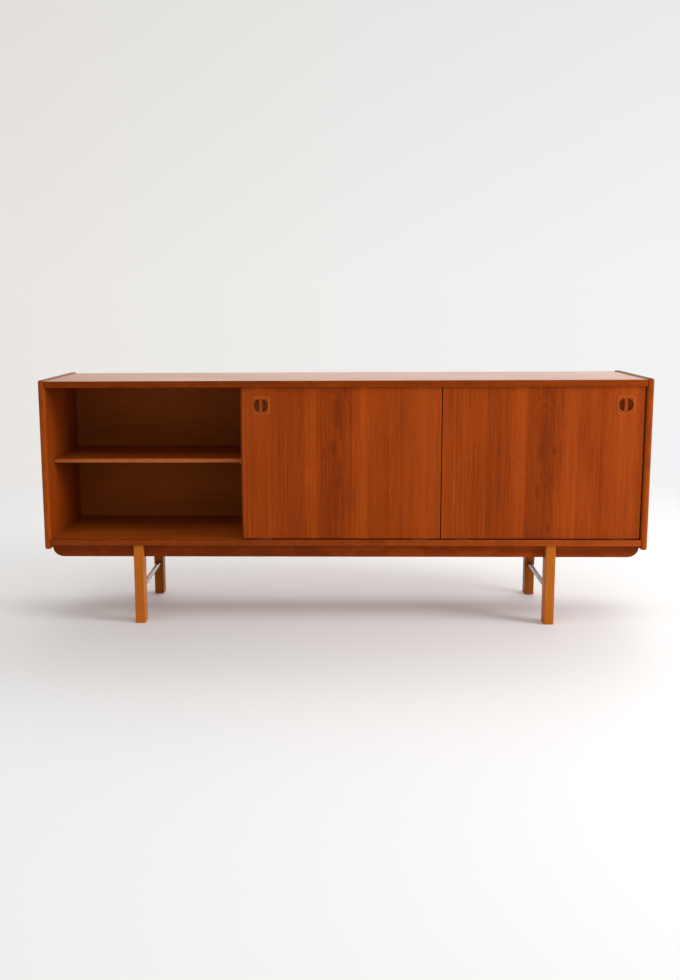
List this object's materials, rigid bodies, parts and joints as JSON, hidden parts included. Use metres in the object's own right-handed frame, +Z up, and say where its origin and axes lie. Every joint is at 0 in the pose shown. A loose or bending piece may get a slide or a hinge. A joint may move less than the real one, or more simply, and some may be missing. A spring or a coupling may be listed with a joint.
{
  "type": "sideboard buffet",
  "caption": "Long low wooden sideboard with open bays behind flush sliding doors, shelves inside, finger pulls, and square legs joined by cross rods.",
  "frame": {"origin": "on the floor under the middle of the cabinet (bottom centre of the bounding box)", "axes": "+X along the length to the right-hand end seen from the front, +Y to the back, +Z up"},
  "size_m": [1.8, 0.41, 0.738],
  "materials": {
    "teak": "teak veneer, satin lacquer",
    "teak_top": "teak veneer top, satin lacquer",
    "teak_solid": "solid teak lipping and pulls, satin",
    "teak_inside": "teak veneer inside, matt",
    "plywood": "thin plywood, matt",
    "beech": "beech, clear satin lacquer",
    "steel": "satin steel",
    "nylon": "moulded nylon"
  },
  "bodies": {
    "carcass": {"left_side_panel": "teak", "right_side_panel": "teak", "top_board": "teak_top", "bottom_board": "teak_inside", "back_panel": "plywood", "left_divider": "teak_inside", "right_divider": "teak_inside", "left_shelf": "teak_inside", "left_shelf_front_left_pin": "steel", "left_shelf_front_right_pin": "steel", "left_shelf_rear_left_pin": "steel", "left_shelf_rear_right_pin": "steel", "middle_shelf": "teak_inside", "middle_shelf_front_left_pin": "steel", "middle_shelf_front_right_pin": "steel", "middle_shelf_rear_left_pin": "steel", "middle_shelf_rear_right_pin": "steel", "right_shelf": "teak_inside", "right_shelf_front_left_pin": "steel", "right_shelf_front_right_pin": "steel", "right_shelf_rear_left_pin": "steel", "right_shelf_rear_right_pin": "steel", "front_apron": "teak", "rear_apron": "teak", "left_cross_rod": "steel", "front_left_leg": "beech", "front_left_leg_upper_screw": "steel", "front_left_leg_lower_screw": "steel", "rear_left_leg": "beech", "rear_left_leg_upper_screw": "steel", "rear_left_leg_lower_screw": "steel", "right_cross_rod": "steel", "front_right_leg": "beech", "front_right_leg_upper_screw": "steel", "front_right_leg_lower_screw": "steel", "rear_right_leg": "beech", "rear_right_leg_upper_screw": "steel", "rear_right_leg_lower_screw": "steel"},
    "left_door": {"left_door_panel": "teak", "left_door_left_lipping": "teak_solid", "left_door_left_glide": "nylon", "left_door_right_lipping": "teak_solid", "left_door_right_glide": "nylon", "left_door_pull": "teak_solid"},
    "right_door": {"right_door_panel": "teak", "right_door_left_lipping": "teak_solid", "right_door_left_glide": "nylon", "right_door_right_lipping": "teak_solid", "right_door_right_glide": "nylon", "right_door_pull": "teak_solid"}
  },
  "joints": [
    {"name": "left_door_slide", "type": "slide", "parent": "carcass", "child": "left_door", "axis": [1, 0, 0], "range_m": [-0.578, 0]},
    {"name": "right_door_slide", "type": "slide", "parent": "carcass", "child": "right_door", "axis": [1, 0, 0], "range_m": [-0.0025, 0.0027]}
  ]
}
